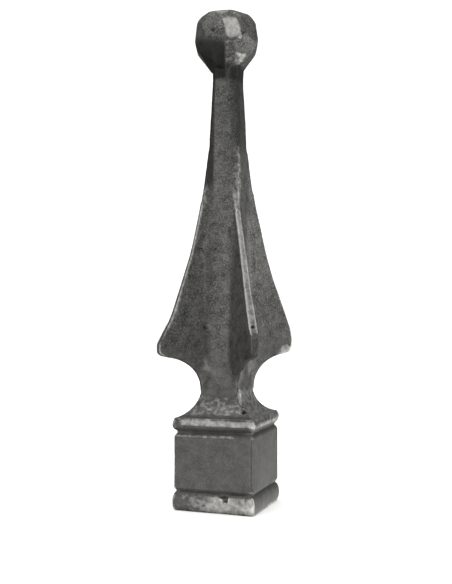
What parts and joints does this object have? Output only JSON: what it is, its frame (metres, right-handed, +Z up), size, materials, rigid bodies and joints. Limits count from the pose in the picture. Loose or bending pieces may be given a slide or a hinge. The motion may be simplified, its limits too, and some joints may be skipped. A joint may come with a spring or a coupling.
{
  "type": "fence spear point",
  "caption": "Cast-iron railing head: square collar between half-round beads, scooped waist, flared fins tapering to a square neck, hammered ball top.",
  "frame": {"origin": "middle of the flat underside of the collar, where it meets the post", "axes": "+Z up along the spear towards the ball; X and Y square to the collar's sides, with the fins over its corners"},
  "size_m": [0.0403, 0.0415, 0.1816],
  "materials": {
    "cast_iron": "raw sand-cast grey iron, rough and speckled, worn bright on its edges and on the hammered ball"
  },
  "bodies": {
    "root": {"spear_point": "cast_iron"}
  },
  "joints": []
}
